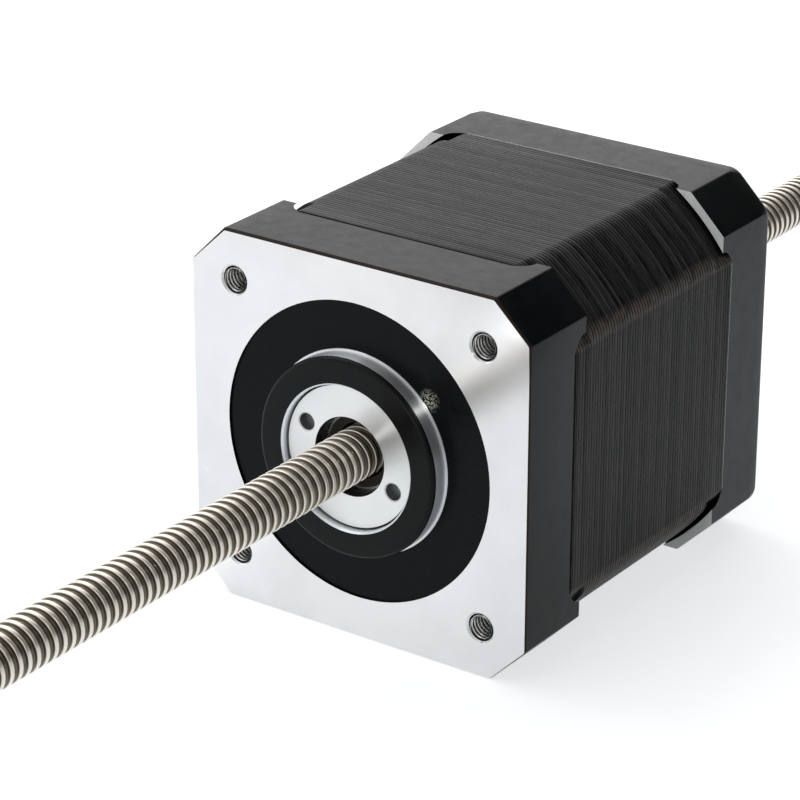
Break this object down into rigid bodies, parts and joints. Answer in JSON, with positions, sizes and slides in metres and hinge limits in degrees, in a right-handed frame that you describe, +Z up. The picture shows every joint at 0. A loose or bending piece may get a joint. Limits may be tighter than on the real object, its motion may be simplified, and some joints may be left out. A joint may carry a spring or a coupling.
{
  "type": "linear stepper motor",
  "caption": "Linear stepper motor: square flange with a round pilot, black end caps over a laminated stack, and a threaded lead screw that slides through the turning nut.",
  "frame": {"origin": "centre of the front mounting face, on the lead screw's axis", "axes": "-Y out of the front face along the lead screw, +Z up, +X to the right seen from the front"},
  "size_m": [0.045, 0.2001, 0.042],
  "materials": {
    "black_casting": "satin black coating",
    "laminations": "blackened laminated steel",
    "copper_wire": "enamelled copper",
    "bobbin_plastic": "matte",
    "board": "matte",
    "header_plastic": "ivory",
    "contact_brass": "tinned",
    "fastener_steel": "zinc",
    "turned_steel": "turned",
    "bearing_steel": "ground",
    "spring_steel": "spring temper",
    "rotor_steel": "stamped",
    "magnet": "nickel plated",
    "nut_bronze": "machined bronze",
    "stainless": "rolled stainless thread"
  },
  "bodies": {
    "motor_body": {"front_end_cap": "black_casting", "rear_end_cap": "black_casting", "stator_core": "laminations", "phase_a_windings": "copper_wire", "phase_b_windings": "copper_wire", "front_insulator": "bobbin_plastic", "rear_insulator": "bobbin_plastic", "case_screws": "fastener_steel", "bearing_retainer_ring": "turned_steel", "preload_spring": "spring_steel", "terminal_board": "board", "connector_header": "header_plastic", "connector_pins": "contact_brass", "front_bearing_outer_ring": "bearing_steel", "rear_bearing_outer_ring": "bearing_steel"},
    "rotor": {"rotor_sleeve": "turned_steel", "rear_journal": "turned_steel", "drive_nut": "nut_bronze", "front_rotor_cup": "rotor_steel", "rear_rotor_cup": "rotor_steel", "rotor_magnet": "magnet", "front_bearing_inner_ring": "bearing_steel", "rear_bearing_inner_ring": "bearing_steel"},
    "lead_screw": {"lead_screw": "stainless"},
    "front_ball_cage": {"front_bearing_ball_cage": "bearing_steel"},
    "rear_ball_cage": {"rear_bearing_ball_cage": "bearing_steel"}
  },
  "joints": [
    {"name": "rotor_spin", "type": "hinge", "parent": "motor_body", "child": "rotor", "pos_m": [0, 0.024, 0], "axis": [0, 1, 0], "range_deg": [-14400, 14400]},
    {"name": "screw_travel", "type": "slide", "parent": "motor_body", "child": "lead_screw", "axis": [0, -1, 0], "range_m": [-0.0488, 0.0488]},
    {"name": "front_cage_orbit", "type": "hinge", "parent": "motor_body", "child": "front_ball_cage", "pos_m": [0, 0.0031, 0], "axis": [0, 1, 0], "continuous": true},
    {"name": "rear_cage_orbit", "type": "hinge", "parent": "motor_body", "child": "rear_ball_cage", "pos_m": [0, 0.0427, 0], "axis": [0, 1, 0], "continuous": true}
  ],
  "couplings": [
    {"joint": "screw_travel", "follows": "rotor_spin", "m_per_rad": 0.00019404}
  ]
}
